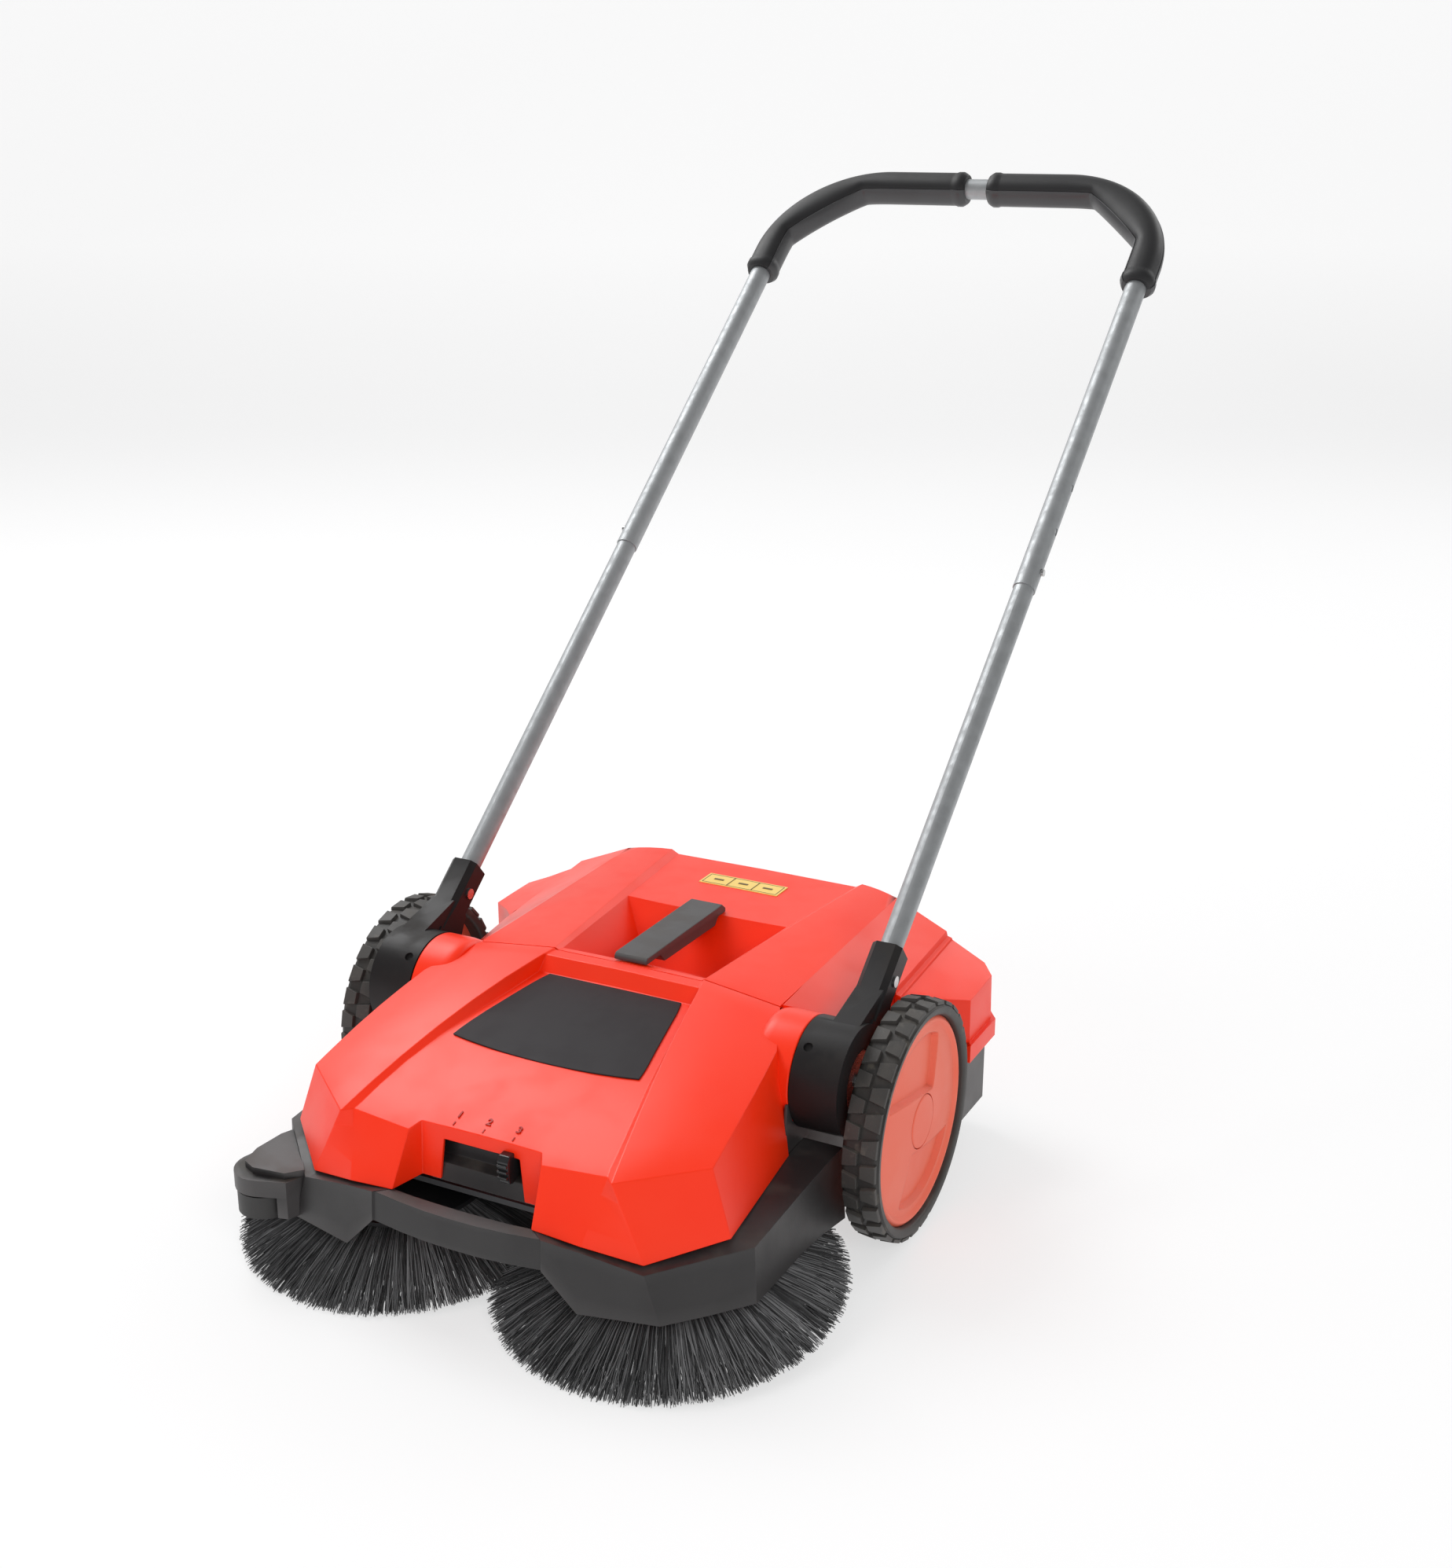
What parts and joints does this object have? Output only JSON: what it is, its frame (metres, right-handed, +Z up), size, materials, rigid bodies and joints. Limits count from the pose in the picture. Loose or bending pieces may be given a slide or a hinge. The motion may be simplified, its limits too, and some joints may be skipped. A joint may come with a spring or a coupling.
{
  "type": "push sweeper",
  "caption": "Walk-behind push sweeper with counter-turning disc brushes, sweeping roller, two drive wheels, pull-out dirt hopper and a folding, telescoping handle.",
  "frame": {"origin": "bottom centre of the whole machine's bounding box, on the ground", "axes": "+Z up, front of the machine faces -Y, +X to the right when seen from the front looking back"},
  "size_m": [0.538, 1.0975, 0.853],
  "materials": {
    "shell_red": "satin",
    "wheel_red": "satin",
    "dark_plastic": "satin",
    "plate_dark": "satin",
    "plate_yellow": "satin",
    "rubber_black": "matte",
    "tyre_black": "matte",
    "black_plastic": "satin",
    "steel": "satin",
    "painted_steel": "satin",
    "gear_iron": "satin",
    "tube_metal": "satin",
    "grip_black": "satin",
    "bristle": "satin"
  },
  "bodies": {
    "chassis": {"skirt_frame": "dark_plastic", "front_hood": "shell_red", "nameplate": "plate_dark", "adjuster_panel": "dark_plastic", "guide_arm": "dark_plastic", "side_plate_left": "dark_plastic", "side_plate_right": "dark_plastic", "axle": "steel", "axle_brackets": "steel", "axle_rail": "painted_steel", "roller_belt": "rubber_black", "pivot_screws": "steel"},
    "hopper": {"hopper_lid": "shell_red", "hopper_bin": "dark_plastic", "bin_lip": "rubber_black", "carry_handle": "dark_plastic", "info_plate": "plate_yellow"},
    "handle_lower": {"handle_bracket_left": "dark_plastic", "handle_bracket_right": "dark_plastic", "lower_tube_left": "tube_metal", "lower_tube_right": "tube_metal", "bracket_bolts": "steel"},
    "handle_upper": {"upper_handle": "tube_metal", "grip_upper_left": "grip_black", "grip_upper_right": "grip_black", "grip_lower_left": "grip_black", "grip_lower_right": "grip_black"},
    "button_right": {"snap_button_right": "steel"},
    "button_left": {"snap_button_left": "steel"},
    "wheel_right": {"tyre_right": "tyre_black", "wheel_disc_right": "wheel_red", "hub_cap_right": "wheel_red", "wheel_hub_right": "black_plastic"},
    "wheel_left": {"tyre_left": "tyre_black", "wheel_disc_left": "wheel_red", "hub_cap_left": "wheel_red", "wheel_hub_left": "black_plastic"},
    "adjuster": {"adjuster_knob": "dark_plastic"},
    "carrier": {"brush_carrier": "painted_steel", "drive_belt_left": "rubber_black", "drive_belt_right": "rubber_black", "spindle_bushes": "black_plastic"},
    "cross_right": {"cross_shaft_right": "steel", "cross_pulley_right": "gear_iron", "bevel_pinion_right": "gear_iron"},
    "cross_left": {"cross_shaft_left": "steel", "cross_pulley_left": "gear_iron", "bevel_pinion_left": "gear_iron"},
    "brush_right": {"brush_spindle_right": "steel", "crown_gear_right": "gear_iron", "brush_disc_right": "black_plastic", "bristle_ring_right": "bristle"},
    "brush_left": {"brush_spindle_left": "steel", "crown_gear_left": "gear_iron", "brush_disc_left": "black_plastic", "bristle_ring_left": "bristle"},
    "sweep_roller": {"roller_core": "black_plastic", "roller_bristles": "bristle", "roller_pulley": "black_plastic"},
    "guide_wheel": {"guide_roller": "rubber_black"}
  },
  "joints": [
    {"name": "handle_tilt", "type": "hinge", "parent": "chassis", "child": "handle_lower", "pos_m": [0, -0.28651, 0.1603], "axis": [1, 0, 0], "range_deg": [-15, 110]},
    {"name": "handle_telescope", "type": "slide", "parent": "handle_lower", "child": "handle_upper", "axis": [0, 0.771, 0.6369], "range_m": [-0.105, 0], "deforming": ["snap_button_right", "snap_button_left"]},
    {"name": "button_right_press", "type": "slide", "parent": "handle_lower", "child": "button_right", "axis": [-1, 0, 0], "range_m": [0, 0.004]},
    {"name": "button_left_press", "type": "slide", "parent": "handle_lower", "child": "button_left", "axis": [1, 0, 0], "range_m": [0, 0.004]},
    {"name": "hopper_pull", "type": "slide", "parent": "chassis", "child": "hopper", "axis": [0, 1, 0], "range_m": [0, 0.35]},
    {"name": "wheel_right_spin", "type": "hinge", "parent": "chassis", "child": "wheel_right", "pos_m": [0.2525, -0.23111, 0.1055], "axis": [1, 0, 0], "continuous": true},
    {"name": "wheel_left_spin", "type": "hinge", "parent": "chassis", "child": "wheel_left", "pos_m": [-0.2525, -0.23111, 0.1055], "axis": [1, 0, 0], "continuous": true},
    {"name": "height_adjust", "type": "slide", "parent": "chassis", "child": "adjuster", "axis": [1, 0, 0], "range_m": [-0.056, 0]},
    {"name": "carrier_lift", "type": "hinge", "parent": "chassis", "child": "carrier", "pos_m": [0, -0.23111, 0.1055], "axis": [1, 0, 0], "range_deg": [-2.05, 0.05]},
    {"name": "cross_right_spin", "type": "hinge", "parent": "carrier", "child": "cross_right", "pos_m": [0.13, -0.43462, 0.10931], "axis": [1, 0, 0], "continuous": true},
    {"name": "cross_left_spin", "type": "hinge", "parent": "carrier", "child": "cross_left", "pos_m": [-0.13, -0.43462, 0.10931], "axis": [1, 0, 0], "continuous": true},
    {"name": "brush_right_spin", "type": "hinge", "parent": "carrier", "child": "brush_right", "pos_m": [0.1273, -0.42341, 0.018], "axis": [0, -0.1219, 0.9925], "continuous": true},
    {"name": "brush_left_spin", "type": "hinge", "parent": "carrier", "child": "brush_left", "pos_m": [-0.1273, -0.42341, 0.018], "axis": [0, -0.1219, 0.9925], "continuous": true},
    {"name": "roller_spin", "type": "hinge", "parent": "chassis", "child": "sweep_roller", "pos_m": [0, -0.22311, 0.047], "axis": [1, 0, 0], "continuous": true},
    {"name": "guide_spin", "type": "hinge", "parent": "chassis", "child": "guide_wheel", "pos_m": [-0.206, -0.51811, 0.057], "axis": [0, 0, 1], "continuous": true}
  ],
  "couplings": [
    {"joint": "carrier_lift", "follows": "height_adjust", "rad_per_m": 0.62333},
    {"joint": "cross_right_spin", "follows": "wheel_right_spin", "ratio": 3},
    {"joint": "brush_right_spin", "follows": "wheel_right_spin", "ratio": -1.5},
    {"joint": "cross_left_spin", "follows": "wheel_left_spin", "ratio": 3},
    {"joint": "brush_left_spin", "follows": "wheel_left_spin", "ratio": 1.5},
    {"joint": "roller_spin", "follows": "wheel_right_spin", "ratio": 1.5385}
  ]
}
